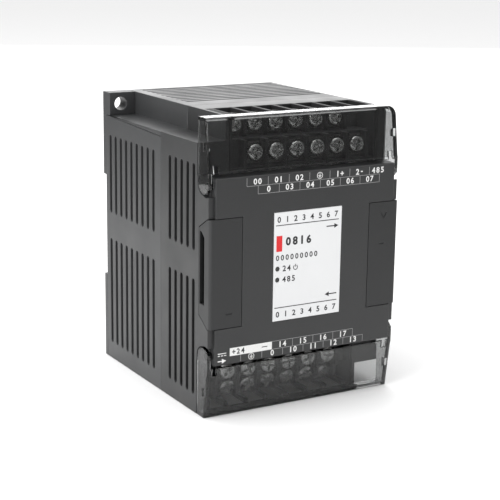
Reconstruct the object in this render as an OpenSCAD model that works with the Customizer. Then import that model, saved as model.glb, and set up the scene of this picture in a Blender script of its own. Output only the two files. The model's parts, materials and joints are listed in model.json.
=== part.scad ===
// Rail-mounted input and output module with plug-off port covers and
// hinged terminal covers. Millimetres. Left, front and bottom are zero
// inside place(); the finished part stands centred on its base.

/* [Housing] */
// Width across the two side faces
body_w = 69; // [69:0.5:72]
// Depth from the front panel to the wall
body_d = 77; // [77:0.5:80]
// Height of the housing
body_h = 93.5; // [93.5:0.5:96]
// Wall thickness of both shells
wall = 2; // [1.8:0.1:2.2]
// Depth at which the two shells meet
seam_y = 33; // [33:0.5:34]
// Width of the screw-ear corner recesses
recess_w = 9.5; // [9.3:0.1:9.8]
// Height of the screw-ear corner recesses
recess_h = 7.65; // [7.5:0.05:7.8]
// Thickness of the screw ears
ear_t = 5.5; // [5:0.1:6]
// Diameter of the ear holes
ear_hole_d = 4.5; // [4.2:0.1:4.6]
// Radius of the rounded upper right edge
edge_r = 3; // [2.6:0.1:3.2]

/* [Rail channel] */
// Depth of the rail channel
channel_depth = 2.1; // [2:0.1:2.3]
// Height of the rail channel
channel_h = 35.3; // [35.2:0.1:35.6]
// Bottom edge of the rail channel
channel_z = 29.8; // [29.4:0.1:30.2]

/* [Cooling slots] */
// Width of one side slot
slot_w = 1.7; // [1.4:0.1:1.9]
// Pitch of the rear side slots
rear_pitch = 4.1; // [4:0.05:4.15]
// Number of rear side slots
rear_slots = 9; // [7:1:9]
// Pitch of the front side slots
front_pitch = 4; // [3.8:0.05:4.05]
// Number of front side slots
front_slots = 5; // [3:1:5]
// Number of roof slots
roof_slots = 10; // [7:1:10]
// Pitch of the roof slots
roof_pitch = 3.55; // [3.2:0.05:3.6]
// Width of one roof slot
roof_slot_w = 1.4; // [1.2:0.1:1.8]

/* [Front panel] */
// Lower edge of the raised panel
panel_z0 = 17.5; // [17.4:0.1:17.6]
// Upper edge of the raised panel
panel_z1 = 76; // [75.8:0.1:76.2]
// Width of the lowered side bands
band_w = 1.95; // [1.8:0.05:2.1]
// How far the side bands lie behind the panel
band_y = 1.1; // [0.9:0.1:1.2]
// Width of the label card
card_w = 24.8; // [24:0.1:25.4]
// Height of the label card
card_h = 34.7; // [34:0.1:35]

/* [Terminals] */
// Pitch of the terminals
pitch = 7.5; // [7.4:0.05:7.5]
// Terminals in each row
row_count = 6; // [4:1:6]
// Diameter of a terminal screw head
head_d = 5.4; // [5:0.1:5.6]
// Thickness of the ribs between terminals
rib_t = 1.3; // [1.1:0.1:1.4]

/* [Covers] */
// Thickness of the clear terminal covers
cover_t = 1.2; // [1.1:0.1:1.3]
// Depth at which the clear covers end
cover_back_y = 8; // [7.8:0.1:8.2]
// Top of the upper clear cover
cover_top = 93.9; // [93.9:0.1:94]

/* [Hidden] */
$fn = 48;

gap = 0.2;
over = 1;
channel_top = channel_z + channel_h;
channel_floor = body_d - channel_depth;
back_inner = 72.5;
ear_front = body_d - ear_t;
ear_hole_x = 4.15;
ear_hole_z = body_h - 3.8;

// Side slots: last slot towards the wall, and the two rows
rear_slot_y = 71.2;
front_slot_y = 26.65;
slot_rows = [[52.4, 79.3], [5.9, 43.3]];
roof_y = 74;
roof_x0 = 13.4;
roof_x1 = 65;

// Terminal zone: pocket for the block and the terminal positions
zone_y = 8.4;
pocket_x0 = 10.7;
pocket_x1 = 65.3;
pocket_back = 23.7;
zone_floor = panel_z1;
outer_x = 16.5;
inner_x = 20.3;
inner_z = 81.3;
outer_z = 89.3;
step_z = 85.5;
inner_face = 12;
outer_face = 19;
plate_t = 1;
washer_t = 0.8;
washer_w = 6;
head_h = 2;
shank_r = 1.5;

// Clear cover: front line, hinge pin and arm
cover_z = 76.95;
front_low_y = 1.1;
front_top_y = 3.4;
lip_t = 0.7;
hinge_y = 2.9;
hinge_z = 73.3;
pin_r = 1.2;
pin_gap = 0.06;
pin_end = 2.7;
arm_r = 3.35;
arm_y = 4.4;
arm_z = 74.1;
arm_pocket_x = 1.5;
strap_w = 1.3;
strap_z = 72.4;

// Port covers
port_z0 = 29.3;
port_z1 = 63.6;
port_w = 11.2;
port_t = 1.6;
port_side_t = 1.4;
port_side_y = 7;
port_gap = 0.15;
port_depth = 8.8;
corner_r = 1;

// Label card and indicator holes
card_x = 22.4;
card_z = 29.1;
card_t = 0.4;
lamp_xs = [1.5, 1.5];
lamp_zs = [16.8, 13.3];
guide_r = 0.7;

// Boards
main_y = 11.6;
io_y = 27;
power_y = 60;
board_t = 1.6;
board_x0 = 9.5;
board_x1 = 59.5;
post_xs = [14, 55];
post_zs = [13, 80.5];
boss_x = 5.2;
boss_z = 14;
boss_r = 3.5;
header_z0 = 34;
header_z1 = 59;
header_x0 = 3.2;
header_x1 = 9.2;

// Latch
latch_w = 14;
latch_t = 2.4;
latch_x = body_w / 2;
latch_y = 73.4;
latch_back = 76.8;
latch_z0 = 1;
window_z0 = 5;
window_z1 = 18;
window_w = 5;
spring_r = 1.2;
spring_z = 10;

// ---- Placing and shape helpers ----
module place() translate([-body_w / 2, -body_d / 2, 0]) children();
module box(x0, x1, y0, y1, z0, z1) translate([x0, y0, z0]) cube([x1 - x0, y1 - y0, z1 - z0]);
module rod_y(x, z, y0, y1, r) translate([x, y0, z]) rotate([-90, 0, 0]) cylinder(h = y1 - y0, r = r);
module rod_x(y, z, x0, x1, r) translate([x0, y, z]) rotate([0, 90, 0]) cylinder(h = x1 - x0, r = r);
// An outline drawn in width and height, made solid between two depths
module slab(y0, y1) translate([0, y1, 0]) rotate([90, 0, 0]) linear_extrude(y1 - y0) children();
// An outline drawn in depth and height, made solid between two widths
module bar(x0, x1) translate([x0, 0, 0]) rotate([90, 0, 90]) linear_extrude(x1 - x0) children();
// The half-turn copy that makes a lower left part from an upper right one
module half_turn() translate([body_w, 0, body_h]) rotate([0, 180, 0]) children();
module upside_down() translate([0, 0, body_h]) mirror([0, 0, 1]) children();
module left_and_right() {
    children();
    translate([body_w, 0, 0]) mirror([1, 0, 0]) children();
}
module both_ways() {
    children();
    half_turn() children();
}

// Housing outline, drawn in by i, with the corner recesses if wanted
module outline(i, recesses = true, top = body_h) {
    r = edge_r - i;
    difference() {
        translate([i, i]) square([body_w - 2 * i, top - 2 * i]);
        translate([body_w - edge_r, top - edge_r]) difference() {
            square(edge_r + over);
            circle(r);
        }
        if (recesses) {
            translate([-over, body_h - recess_h - i]) square([recess_w + i + over, recess_h + i + over]);
            translate([body_w - recess_w - i, -over]) square([recess_w + i + over, recess_h + i + over]);
        }
    }
}

// ---- Shells ----
module side_slot(y, z0, z1, x0, x1) {
    r = slot_w / 2;
    box(x0, x1, y - r, y + r, z0 + r, z1 - r);
    for (z = [z0 + r, z1 - r])
        rod_x(y, z, x0, x1, r);
}

module side_slots(y0, step, count)
    for (row = slot_rows)
        for (k = [0 : count - 1])
            for (x = [-over, body_w - wall - 0.05])
                side_slot(y0 - k * step, row[0], row[1], x, x + wall + over + 0.05);

module roof_cut()
    for (k = [0 : roof_slots - 1]) {
        y = roof_y - k * roof_pitch;
        box(roof_x0, roof_x1, y - roof_slot_w, y, body_h - wall - over, body_h + over);
        if (y < latch_y - 2)
            half_turn() box(roof_x0, roof_x1, y - roof_slot_w, y, body_h - wall - over, body_h + over);
    }

module screw_tubes()
    for (p = [[boss_x, boss_z], [body_w - boss_x, body_h - boss_z],
              [boss_x, body_h - boss_z], [body_w - boss_x, boss_z]])
        translate([p[0], 0, p[1]]) children();

module rear_housing() color("#4d4f51") place() {
    difference() {
        union() {
            difference() {
                slab(seam_y, channel_floor) outline(0);
                slab(seam_y - over, back_inner) outline(wall);
            }
            screw_tubes() rod_y(0, 0, seam_y, back_inner + 1, boss_r);
            for (x = post_xs)
                for (z = post_zs)
                    rod_y(x, z, power_y + board_t, back_inner + 1, 3);
            box(latch_x - 10, latch_x + 10, 70.9, back_inner + 1, wall, channel_z);
        }
        screw_tubes() {
            rod_y(0, 0, 41, body_d + over, 2.7);
            rod_y(0, 0, seam_y - over, 42, 1.5);
        }
        for (x = post_xs)
            for (z = post_zs)
                rod_y(x, z, power_y, back_inner - 2, 1.3);
        side_slots(rear_slot_y, rear_pitch, rear_slots);
        roof_cut();
        // Parting groove that closes towards the ear
        bar(-over, 0.3) polygon([[seam_y - over, 84.1], [seam_y - over, 84.5], [71, 85.75], [71, 85.5]]);
        latch_guide();
    }
    // Post that the latch spring stands on
    box(latch_x - 1.5, latch_x + 1.5, latch_y - gap - 0.1, latch_y + 2.6, spring_z - 1.8, spring_z);
}

// Room that the rail latch slides in
module latch_guide()
    box(latch_x - latch_w / 2 - gap, latch_x + latch_w / 2 + gap, latch_y - gap,
        body_d + over, -over, channel_z + over);

// Plate on the back of the rear shell, between two heights, with a screw ear as its child
module back_plate(z0, z1) difference() {
    union() {
        slab(channel_floor, body_d) intersection() {
            outline(0, recesses = false);
            translate([0, z0]) square([body_w, z1 - z0]);
        }
        children();
    }
    both_ways() rod_y(ear_hole_x, ear_hole_z, ear_front - over, body_d + over, ear_hole_d / 2);
    screw_tubes() rod_y(0, 0, channel_floor - over, body_d + over, 2.7);
    latch_guide();
}

module upper_back_plate() color("#4d4f51") place() {
    back_plate(channel_top, body_h)
        box(0, recess_w, ear_front, channel_floor + 0.1, body_h - recess_h, body_h);
    // Fixed hooks over the upper flange of the rail
    for (x = [10, 49])
        box(x, x + 10, body_d - 0.9, body_d, channel_top - 1.2, channel_top + 0.1);
}

module lower_back_plate() color("#4d4f51") place() {
    back_plate(0, channel_z)
        box(body_w - recess_w, body_w, ear_front, channel_floor + 0.1, 0, recess_h);
    // Rails that hold the latch in its guide
    for (x = [latch_x - latch_w / 2 - gap, latch_x + latch_w / 2 + gap - 1.2])
        box(x, x + 1.2, body_d - 0.9, body_d, 9, 26);
}

module arm_outline(extra = 0) {
    translate([arm_y, arm_z]) circle(arm_r + extra);
    polygon([[arm_y - arm_r - extra, arm_z], [arm_y + arm_r + extra, arm_z],
             [cover_back_y + extra, cover_z + 1], [front_low_y - extra, cover_z + 1]]);
}

// Space that one clear cover's arm takes and sweeps, at the upper left
module arm_pocket() {
    bar(-over, arm_pocket_x) {
        arm_outline(0.35);
        translate([hinge_y, hinge_z]) circle(3.3);
        translate([-over, hinge_z - 1]) square([hinge_y + over, panel_z1 - hinge_z + 2]);
    }
    box(-over, band_w, -over, hinge_y, hinge_z - 3, panel_z1 + over);
    rod_x(hinge_y, hinge_z, arm_pocket_x - 0.1, pin_end + 0.15, pin_r + pin_gap);
}

module port_side_outline(extra = 0)
    polygon([
        [-extra, port_z0 - extra], [1.6, port_z0 - extra], [port_side_y + extra, port_z0 + 3.6 - extra],
        [port_side_y + extra, port_z1 - 3.3 + extra], [1.6, port_z1 + extra], [-extra, port_z1 + extra]
    ]);

// Space for one port cover and its header, on the left
module port_pocket() {
    bar(-over, port_side_t + gap) port_side_outline(port_gap);
    box(-over, port_w + port_gap, -over, port_t + gap, port_z0 - port_gap, port_z1 + port_gap);
    box(port_side_t + gap, port_w - 1, -over, port_depth, port_z0 + 1.5, port_z1 - 1.5);
    box(header_x0 - gap, header_x1 + gap, 0, main_y, header_z0 - gap, header_z1 + gap);
}

module terminal_pocket() {
    box(pocket_x0, pocket_x1, zone_y - over, pocket_back, zone_floor, body_h + over);
    box(pocket_x0, pocket_x1, zone_y - over, io_y - 0.5, zone_floor, body_h - wall);
}

module front_housing() color("#434446") place() difference() {
    union() {
        difference() {
            union() {
                slab(zone_y, seam_y) outline(0);
                box(0, body_w, 0, zone_y + over, panel_z0, panel_z1);
            }
            // Room for the boards
            box(wall, body_w - wall, 2.2, zone_y + 3, panel_z0 + wall, panel_z1 - wall);
            box(wall, body_w - wall, zone_y + 1.6, seam_y + over, panel_z0 + wall, panel_z1 - wall);
            slab(io_y - 0.6, seam_y + over) outline(wall);
        }
        // Pocket walls round the bus headers, and hinge bosses
        left_and_right() {
            box(wall - 0.1, port_w + 1.2, 1, port_depth + 1.2, port_z0 - 0.5, port_z1 + 0.5);
            for (z = [hinge_z, body_h - hinge_z])
                rod_x(hinge_y + 0.3, z, wall - 0.5, pin_end + 1.2, 2.6);
        }
        screw_tubes() rod_y(0, 0, io_y - 0.5, seam_y, boss_r);
    }
    screw_tubes() rod_y(0, 0, io_y - 0.4, seam_y + over, 1.3);
    both_ways() terminal_pocket();
    left_and_right() {
        // Lowered bands beside the raised panel
        for (z = [[port_z1, panel_z1 + over], [panel_z0 - over, port_z0]])
            box(-over, band_w, -over, band_y, z[0], z[1]);
        arm_pocket();
        upside_down() arm_pocket();
        port_pocket();
        // Vertical front edges of the panel are eased
        translate([0, 0, panel_z0]) rotate([0, 0, 45])
            translate([-0.2, -0.2, -over]) cube([0.4, 0.4, body_h]);
    }
    side_slots(front_slot_y, front_pitch, front_slots);
    // Bevels on the panel's upper and lower edges
    for (z = [panel_z0, panel_z1])
        translate([body_w / 2, 0, z]) rotate([45, 0, 0]) cube([body_w + 2, 0.6, 0.6], center = true);
    // Seat of the label card and the indicator holes
    box(card_x - 0.1, card_x + card_w + 0.1, -over, card_t + 0.1, card_z - 0.1, card_z + card_h + 0.1);
    lamp_places() rod_y(0, 0, -over, 3, guide_r + 0.1);
}

module lamp_places()
    for (k = [0, 1])
        translate([card_x + lamp_xs[k], 0, card_z + lamp_zs[k]]) children();

// ---- Clear terminal covers ----
// Width and height outline of a cover, with its right corner rounded or square
module cover_outline(i, top, rounded) {
    if (rounded)
        outline(i, recesses = false, top = top);
    else
        translate([i, i]) square([body_w - 2 * i, top - 2 * i]);
}

module clear_cover(top, rounded) {
    difference() {
        intersection() {
            bar(0, body_w) polygon([[front_low_y, cover_z], [cover_back_y, cover_z],
                                    [cover_back_y, top], [front_top_y, top]]);
            slab(-over, zone_y) cover_outline(0, top, rounded);
        }
        intersection() {
            bar(cover_t, body_w - cover_t)
                polygon([[front_low_y + lip_t, cover_z - over], [cover_back_y + over, cover_z - over],
                         [cover_back_y + over, top - cover_t], [front_top_y + cover_t, top - cover_t],
                         [front_low_y + cover_t + 0.1, cover_z + 1.1], [front_low_y + lip_t, cover_z]]);
            slab(-over, zone_y + over) cover_outline(cover_t, top, rounded);
        }
        // Relief slots where the arms spring out, and the latch slots
        left_and_right() {
            box(band_w, band_w + 1.5, -over, front_low_y + cover_t + 0.6, cover_z - over, cover_z + 2.6);
            box(-over, cover_t + over, 3.6, 4.6, 84, 86.5);
        }
    }
    left_and_right() {
        bar(0, cover_t) arm_outline();
        box(0, strap_w, front_low_y, front_low_y + cover_t, strap_z, cover_z + 0.5);
        rod_x(hinge_y, hinge_z, cover_t - 0.2, pin_end, pin_r);
    }
}

module upper_terminal_cover() color("#6f7274", 0.45) place()
    clear_cover(cover_top, true);
module lower_terminal_cover() color("#6f7274", 0.45) place()
    upside_down() clear_cover(body_h, false);

// ---- Port covers ----
module port_cover_shell() {
    difference() {
        union() {
            bar(0, port_side_t) port_side_outline();
            box(0, port_w, 0, port_t, port_z0, port_z1);
            // Rounded inner fillet and finger that snaps behind the pocket wall
            box(port_side_t - 0.1, port_side_t + 1, port_t - 0.1, 4.5, port_z0 + 2, port_z0 + 6);
            box(port_side_t - 0.1, port_side_t + 1, port_t - 0.1, 4.5, port_z1 - 6, port_z1 - 2);
        }
        translate([0, 0, port_z0 - over]) difference() {
            translate([-over, -over, 0]) cube([corner_r + over, corner_r + over, body_h]);
            translate([corner_r, corner_r, -over]) cylinder(h = body_h + 2, r = corner_r);
        }
    }
}

module left_port_cover() color("#3b3c3e") place() difference() {
    port_cover_shell();
    // Side slot for a flat cable
    bar(-over, port_side_t + over)
        polygon([[3.7, 36.4], [6.6, 36.4], [6.6, 59.2], [5.6, 59.2], [3.7, 57.6]]);
    // Moulded grip line
    box(5.6, 7.8, -over, 0.25, 33.6, 34.1);
}

module right_port_cover() color("#3b3c3e") place() {
    translate([body_w, 0, 0]) mirror([1, 0, 0]) difference() {
        port_cover_shell();
        // Moulded opening arrow and cross line
        translate([5.6, 0, 58.3]) for (a = [30, -30])
            rotate([0, a, 0]) translate([-0.15, -over, 0]) cube([0.3, over + 0.25, 2.2]);
        box(5.2, 7, -over, 0.25, 49.8, 50.2);
    }
}

// ---- Label and indicators ----
module label_card() color("white") place() difference() {
    box(card_x, card_x + card_w, 0.05, card_t + 0.05, card_z, card_z + card_h);
    lamp_places() rod_y(0, 0, -over, 2, guide_r + 0.1);
}

module light_guides() color("#2a2a2c") place() lamp_places() {
    rod_y(0, 0, 0.15, main_y - 1.2, guide_r);
    rod_y(0, 0, 3.4, 4.4, 1.4);
}

module indicator_lamps() color("#e8e4d0") place() {
    lamp_places() box(-0.8, 0.8, main_y - 0.9, main_y, -0.6, 0.6);
    for (z = [card_z + 3.4, card_z + card_h - 3.2])
        for (k = [0 : 7])
            translate([card_x + 2.6 + k * 2.8, main_y - 0.8, z - 0.5]) cube([1, 0.8, 1.6]);
}

// ---- Terminal blocks ----
module outer_places()
    for (k = [0 : row_count - 1])
        translate([outer_x + k * pitch, 0, outer_z]) children();

module inner_places()
    for (k = [0 : row_count - 1])
        translate([inner_x + k * pitch, 0, inner_z]) children();

module terminal_block() {
    x0 = pocket_x0 + gap;
    x1 = pocket_x1 - gap;
    difference() {
        union() {
            box(x0, x1, inner_face, io_y - 1.2, zone_floor + gap, step_z);
            box(x0, x1, outer_face, outer_face + 1.8, step_z - 0.1, 91);
            box(x0, x1, pocket_back, io_y - 1.2, step_z - 0.1, body_h - wall - gap);
            box(x0, x1, zone_y + gap, inner_face + 0.1, zone_floor + gap, zone_floor + 1.1);
            // Ribs between the outer terminals, each with a bar forward across the wire entry
            for (k = [0 : row_count])
                bar(outer_x + (k - 0.5) * pitch - rib_t / 2, outer_x + (k - 0.5) * pitch + rib_t / 2)
                    polygon([
                        [outer_face - 3.4, step_z - 0.1], [pocket_back - gap, step_z - 0.1],
                        [pocket_back - gap, body_h], [zone_y + 1.4, body_h],
                        [zone_y + 1.4, body_h - 1.6], [outer_face - 3.4, body_h - 1.6],
                    ]);
            // Ribs between the inner terminals
            for (k = [0 : row_count])
                box(inner_x + (k - 0.5) * pitch - rib_t / 2, inner_x + (k - 0.5) * pitch + rib_t / 2,
                    zone_y + gap, inner_face + 0.1, zone_floor + gap, step_z);
            for (x = [x0, x1 - 0.9])
                box(x, x + 0.9, zone_y + gap, pocket_back - gap, zone_floor + gap, body_h);
        }
        outer_places() {
            rod_y(0, 0, outer_face - over, pocket_back, shank_r + 0.15);
            box(-0.7, 0.7, outer_face - over, io_y, -3.2, -1.8);
        }
        inner_places() {
            rod_y(0, 0, inner_face - over, 18, shank_r + 0.15);
            box(-0.7, 0.7, inner_face - over, io_y, -3.9, -2.5);
        }
    }
}

module upper_terminal_block() color("#1f2022") place() terminal_block();
module lower_terminal_block() color("#1f2022") place() half_turn() terminal_block();

// One cheese-head screw whose head seats at depth y
module terminal_screw(y, shank) difference() {
    union() {
        rod_y(0, 0, y - head_h + 0.4, y, head_d / 2);
        translate([0, y - head_h, 0]) rotate([-90, 0, 0])
            cylinder(h = 0.45, r1 = head_d / 2 - 0.45, r2 = head_d / 2);
        rod_y(0, 0, y - 0.1, y + shank, shank_r);
    }
    box(-head_d / 2 - 1, head_d / 2 + 1, y - head_h - over, y - head_h + 0.9, -0.4, 0.4);
    box(-0.4, 0.4, y - head_h - over, y - head_h + 1.1, -1.7, 1.7);
}

module washer(y) difference() {
    box(-washer_w / 2, washer_w / 2, y - washer_t, y, -washer_w / 2, washer_w / 2);
    rod_y(0, 0, y - 2, y + over, shank_r + 0.2);
}

module contact(y, pin_z) difference() {
    union() {
        box(-3, 3, y - plate_t, y, -3.7, 3.2);
        box(-0.5, 0.5, y - 0.1, io_y - 0.1, pin_z - 0.5, pin_z + 0.5);
    }
    rod_y(0, 0, y - 2, y + over, shank_r + 0.15);
}

module terminal_screws() {
    outer_places() terminal_screw(outer_face - plate_t - washer_t, 5);
    inner_places() terminal_screw(inner_face - plate_t - washer_t, 6);
}
module clamp_washers() {
    outer_places() washer(outer_face - plate_t);
    inner_places() washer(inner_face - plate_t);
}
module contacts() {
    outer_places() contact(outer_face, -2.5);
    inner_places() contact(inner_face, -3.2);
}

module upper_terminal_screws() color("#a9abad") place() terminal_screws();
module lower_terminal_screws() color("#a9abad") place() half_turn() terminal_screws();
module upper_clamp_washers() color("#b9b6a8") place() clamp_washers();
module lower_clamp_washers() color("#b9b6a8") place() half_turn() clamp_washers();
module upper_contacts() color("#c2b280") place() contacts();
module lower_contacts() color("#c2b280") place() half_turn() contacts();

// ---- Boards and what they carry ----
module posts()
    for (x = post_xs)
        for (z = post_zs)
            translate([x, 0, z]) children();

module short_posts()
    for (x = [16, 53])
        for (z = [22.5, 70.5])
            translate([x, 0, z]) children();

module main_board() color("#2f6b45") place() difference() {
    box(2.6, body_w - 2.6, main_y, main_y + board_t, panel_z0 + 2.6, panel_z1 - 2.6);
    short_posts() rod_y(0, 0, main_y - over, main_y + 3, 1.3);
}
module io_board() color("#2f6b45") place() difference() {
    union() {
        box(board_x0, board_x1, io_y, io_y + board_t, 10, 83.5);
        box(board_x0, 57, io_y, io_y + board_t, 3, 10.1);
        box(12, board_x1, io_y, io_y + board_t, 83.4, 90.5);
    }
    posts() rod_y(0, 0, io_y - over, io_y + 3, 1.4);
    short_posts() rod_y(0, 0, io_y - over, io_y + 3, 1.3);
}
module power_board() color("#2f6b45") place() difference() {
    box(board_x0, board_x1, power_y, power_y + board_t, 10, 83.5);
    posts() rod_y(0, 0, power_y - over, power_y + 3, 1.4);
}

// Long spacers have a tail through the outer board and a blind hole for a screw
module long_spacers() color("#c9a24a") place() posts() difference() {
    union() {
        rod_y(0, 0, io_y + board_t, power_y, 2.6);
        rod_y(0, 0, io_y - 0.45, io_y + board_t + 0.1, 1.25);
    }
    rod_y(0, 0, power_y - 8, power_y + over, 1.3);
}
module short_spacers() color("#c9a24a") place() short_posts() {
    rod_y(0, 0, main_y + board_t, io_y, 2.4);
    rod_y(0, 0, main_y - 1, main_y + board_t + 0.1, 1.2);
    rod_y(0, 0, io_y - 0.1, io_y + board_t + 0.8, 1.2);
}
module board_screws() color("#b0b3b6") place() posts()
    difference() {
        rod_y(0, 0, power_y - 6, power_y + board_t + 6, 1.2);
        rod_y(0, 0, power_y + board_t + 5, power_y + board_t + 7, 0.5);
    }
module housing_screws() color("#8d9092") place() screw_tubes() difference() {
    union() {
        rod_y(0, 0, 28, 41.1, 1.25);
        rod_y(0, 0, 41.05, 43, 2.4);
    }
    box(-0.4, 0.4, 42, 45, -1.6, 1.6);
    box(-1.6, 1.6, 42, 45, -0.4, 0.4);
}

module processor() color("#1b1b1d") place() {
    box(30, 42, main_y + board_t, main_y + board_t + 1.4, 40, 52);
    for (k = [0 : 15])
        for (z = [38.9, 52])
            translate([30.4 + k * 0.72, main_y + board_t, z]) cube([0.3, 0.3, 1.1]);
}
module clock_crystal() color("#c8cacc") place() {
    for (x = [22.5, 26.5])
        rod_y(x, 44, main_y + board_t, main_y + board_t + 3.4, 1.8);
    box(22.5, 26.5, main_y + board_t, main_y + board_t + 3.4, 42.2, 45.8);
}
module serial_driver() color("#1b1b1d") place() {
    box(46, 51, main_y + board_t, main_y + board_t + 1.5, 56, 60);
    for (k = [0 : 3])
        for (z = [55.1, 60])
            translate([46.4 + k * 1.27, main_y + board_t, z]) cube([0.4, 0.4, 0.9]);
}

module bus_header() difference() {
    box(header_x0, header_x1, port_depth - 1.8, main_y, header_z0, header_z1);
    box(header_x0 + 0.8, header_x1 - 0.8, 0, main_y - 1.4, header_z0 + 0.8, header_z1 - 0.8);
}
module bus_pins()
    for (k = [0 : 8])
        for (x = [header_x0 + 1.75, header_x0 + 4.25])
            translate([x - 0.25, port_depth - 1, header_z0 + 2.1 + k * 2.54]) cube([0.5, 2.4, 0.5]);

module left_bus_header() color("#151517") place() bus_header();
module right_bus_header() color("#151517") place() translate([body_w, 0, 0]) mirror([1, 0, 0]) bus_header();
module left_bus_pins() color("#d6b85a") place() bus_pins();
module right_bus_pins() color("#d6b85a") place() translate([body_w, 0, 0]) mirror([1, 0, 0]) bus_pins();

// A row of square pins in a moulded strip, between two boards
module board_link(x, z, count, y0, y1) {
    box(x, x + count * 2.54, (y0 + y1) / 2 - 1.3, (y0 + y1) / 2 + 1.3, z - 1.27, z + 1.27);
    for (k = [0 : count - 1])
        translate([x + 0.95 + k * 2.54, y0, z - 0.32]) cube([0.64, y1 - y0, 0.64]);
}
module signal_link() color("#17171a") place() board_link(22, 64, 10, main_y + board_t, io_y);
module power_link() color("#17171a") place() board_link(24, 78, 8, io_y + board_t, power_y);

module output_relays() color("#22345e") place()
    for (k = [0 : 7])
        translate([11.2 + k * 5.9, io_y + board_t, 25]) cube([5, 12.5, 20]);

module input_couplers() color("#202124") place()
    for (k = [0 : 7])
        translate([11.5 + k * 5.9, io_y + board_t, 55]) {
            translate([0, 0.6, 0]) cube([4.6, 3.4, 6.4]);
            for (z = [-1, 6.4])
                for (x = [0.8, 3.3])
                    translate([x, 0, z]) cube([0.5, 1.4, 1]);
        }

module transformer_core() color("#3a3a3e") place() difference() {
    box(24, 45, power_y - 16, power_y - 0.6, 50, 68);
    for (x = [27, 38])
        box(x, x + 4, power_y - 17, power_y, 53.5, 64.5);
}
module transformer_winding() color("#b0662c") place() difference() {
    box(27.3, 41.7, power_y - 17.5, power_y - 0.2, 53.8, 64.2);
    box(30.8, 38.2, power_y - 18, power_y, 52, 66);
}
module filter_capacitors() color("#26344a") place()
    for (p = [[16, 33], [26, 35], [16, 46], [52, 62]])
        rod_y(p[0], p[1], power_y - 13, power_y - 0.3, 4);
module input_fuse() color("#d8d4c6") place() {
    rod_x(power_y - 4, 20, 26, 42, 2);
    for (x = [24.5, 40.5])
        rod_x(power_y - 4, 20, x, x + 3, 2.5);
}
module voltage_regulator() color("#1d1d20") place() {
    box(48, 58, power_y - 4.6, power_y - 0.2, 30, 45);
    box(48, 58, power_y - 1.5, power_y - 0.2, 45, 50);
}

// ---- Rail latch ----
module din_latch() color("#2e3032") place() difference() {
    union() {
        box(latch_x - latch_w / 2 + 1.4, latch_x + latch_w / 2 - 1.4, latch_y, latch_back, latch_z0, 27);
        box(latch_x - latch_w / 2, latch_x + latch_w / 2, latch_y, latch_y + latch_t,
            latch_z0, channel_z - 0.3);
        // Wedge that grips the lower flange of the rail
        bar(latch_x - latch_w / 2 + 1.4, latch_x + latch_w / 2 - 1.4)
            polygon([[latch_y, 26.9], [latch_back, 26.9], [latch_back, channel_z + 0.6],
                     [latch_y + 2.7, channel_z + 1.9], [latch_y + 2.7, channel_z - 0.3],
                     [latch_y, channel_z - 0.3]]);
    }
    // Window for the spring, and the pull slot for a screwdriver
    box(latch_x - window_w / 2, latch_x + window_w / 2, latch_y - over, body_d, window_z0, window_z1);
    box(latch_x - 3, latch_x + 3, latch_y + 1, body_d, 2, 3.6);
}

module latch_spring() color("#b7babd") place()
    translate([latch_x, latch_y + 1.25, spring_z + 0.05]) difference() {
        cylinder(h = window_z1 - spring_z - 0.1, r = spring_r);
        translate([0, 0, -over]) cylinder(h = window_z1, r = spring_r - 0.35);
    }

rear_housing();
front_housing();
upper_back_plate();
lower_back_plate();
upper_terminal_cover();
lower_terminal_cover();
left_port_cover();
right_port_cover();
label_card();
light_guides();
upper_terminal_block();
lower_terminal_block();
upper_terminal_screws();
lower_terminal_screws();
upper_clamp_washers();
lower_clamp_washers();
upper_contacts();
lower_contacts();
main_board();
io_board();
power_board();
processor();
clock_crystal();
serial_driver();
indicator_lamps();
left_bus_header();
right_bus_header();
left_bus_pins();
right_bus_pins();
signal_link();
power_link();
output_relays();
input_couplers();
transformer_core();
transformer_winding();
filter_capacitors();
input_fuse();
voltage_regulator();
long_spacers();
short_spacers();
board_screws();
housing_screws();
din_latch();
latch_spring();
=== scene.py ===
"""Looks for a rail-mounted input and output module: finishes, printing and finely made pieces."""
import json
import math
import random

import bmesh
import bpy
from bpy.props import FloatProperty, FloatVectorProperty, IntProperty, PointerProperty
from bpy.types import Operator, Panel, PropertyGroup
from mathutils import Matrix, Vector


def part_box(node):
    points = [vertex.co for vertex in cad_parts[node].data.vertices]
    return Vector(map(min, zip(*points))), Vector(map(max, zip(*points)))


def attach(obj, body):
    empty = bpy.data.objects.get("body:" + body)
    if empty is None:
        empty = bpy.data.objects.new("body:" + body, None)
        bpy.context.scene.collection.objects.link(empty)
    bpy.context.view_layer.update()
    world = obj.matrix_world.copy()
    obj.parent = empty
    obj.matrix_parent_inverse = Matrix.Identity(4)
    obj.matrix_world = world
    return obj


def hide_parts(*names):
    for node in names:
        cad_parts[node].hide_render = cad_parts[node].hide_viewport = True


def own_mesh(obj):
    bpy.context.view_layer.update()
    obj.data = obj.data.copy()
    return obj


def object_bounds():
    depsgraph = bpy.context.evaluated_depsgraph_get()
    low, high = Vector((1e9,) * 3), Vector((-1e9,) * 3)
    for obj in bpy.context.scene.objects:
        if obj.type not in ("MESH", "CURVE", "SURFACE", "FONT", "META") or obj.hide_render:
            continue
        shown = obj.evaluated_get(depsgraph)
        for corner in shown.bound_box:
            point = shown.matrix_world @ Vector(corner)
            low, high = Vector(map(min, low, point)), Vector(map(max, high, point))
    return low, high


bl_info = {
    "name": "Rail Module Looks",
    "version": (1, 0, 0),
    "blender": (4, 5, 0),
    "location": "3D View > Sidebar > Rail Module",
    "description": "Finishes and finely made pieces for a rail-mounted module",
    "category": "Object",
}

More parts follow.
